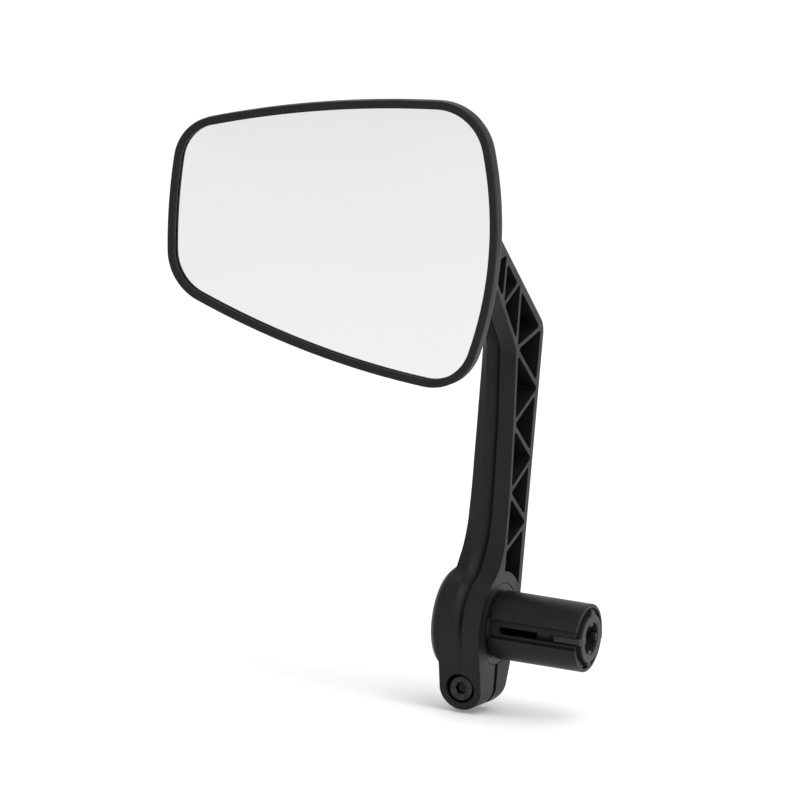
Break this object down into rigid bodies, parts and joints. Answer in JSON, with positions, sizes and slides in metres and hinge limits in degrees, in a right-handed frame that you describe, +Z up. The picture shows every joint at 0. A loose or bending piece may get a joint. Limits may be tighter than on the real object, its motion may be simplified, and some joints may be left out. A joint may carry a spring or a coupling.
{
  "type": "bicycle mirror",
  "caption": "Bar-end bicycle mirror: trapezoid mirror head on a ball joint, cranked ribbed arm, split clamp ring and expanding plug for the handlebar's end.",
  "frame": {"origin": "on the plug's axis, at the inner end of the sleeve that grips inside the handlebar", "axes": "+X along the plug towards its free end, +Z up along the arm, -Y towards the rider, so the mirror faces -Y"},
  "size_m": [0.1176, 0.0571, 0.174],
  "materials": {
    "filled_nylon": "moulded, fine texture",
    "dark_nylon": "moulded",
    "black_steel": "black oxide",
    "zinc_steel": "zinc plated",
    "mirror_glass": "polished",
    "foam_tape": "closed-cell foam",
    "acetal": "moulded, smooth"
  },
  "bodies": {
    "plug": {"hub": "filled_nylon", "adapter_sleeve": "filled_nylon", "expander_washer": "zinc_steel"},
    "expander_screw": {"expander_screw": "black_steel"},
    "expander_cone": {"expander_cone": "dark_nylon", "expander_nut": "zinc_steel"},
    "arm": {"arm": "filled_nylon", "clamp_nut": "black_steel"},
    "clamp_washer": {"clamp_washer": "black_steel"},
    "clamp_screw": {"clamp_screw": "black_steel"},
    "liner_rear": {"ball_liner_rear": "acetal"},
    "liner_front": {"ball_liner_front": "acetal"},
    "head": {"head_shell": "filled_nylon", "bezel": "filled_nylon", "mirror_glass": "mirror_glass", "glass_tape": "foam_tape", "socket_cap": "dark_nylon", "wave_washer": "zinc_steel", "socket_plate": "zinc_steel", "socket_screws": "zinc_steel"}
  },
  "joints": [
    {"name": "arm_swing", "type": "hinge", "parent": "plug", "child": "arm", "pos_m": [0, 0, 0], "axis": [1, 0, 0], "continuous": true},
    {"name": "expander_turn", "type": "hinge", "parent": "plug", "child": "expander_screw", "pos_m": [0, 0, 0], "axis": [-1, 0, 0], "range_deg": [0, 1800]},
    {"name": "cone_slide", "type": "slide", "parent": "plug", "child": "expander_cone", "axis": [1, 0, 0], "range_m": [0, 0.004]},
    {"name": "clamp_washer_slide", "type": "slide", "parent": "arm", "child": "clamp_washer", "axis": [0, -1, 0], "range_m": [0, 0.0014]},
    {"name": "clamp_turn", "type": "hinge", "parent": "clamp_washer", "child": "clamp_screw", "pos_m": [-0.00695, 0, -0.0175], "axis": [0, -1, 0], "range_deg": [0, 720]},
    {"name": "head_pan", "type": "hinge", "parent": "arm", "child": "liner_rear", "pos_m": [-0.0062, -0.0295, 0.1053], "axis": [0, 0, 1], "range_deg": [-20, 20]},
    {"name": "head_tilt", "type": "hinge", "parent": "liner_rear", "child": "liner_front", "pos_m": [-0.0062, -0.0295, 0.1053], "axis": [1, 0, 0], "range_deg": [-15, 15]},
    {"name": "head_roll", "type": "hinge", "parent": "liner_front", "child": "head", "pos_m": [-0.0062, -0.0295, 0.1053], "axis": [0, 1, 0], "range_deg": [-20, 20]}
  ],
  "couplings": [
    {"joint": "expander_turn", "follows": "cone_slide", "rad_per_m": 7854},
    {"joint": "clamp_turn", "follows": "clamp_washer_slide", "rad_per_m": 8976}
  ]
}
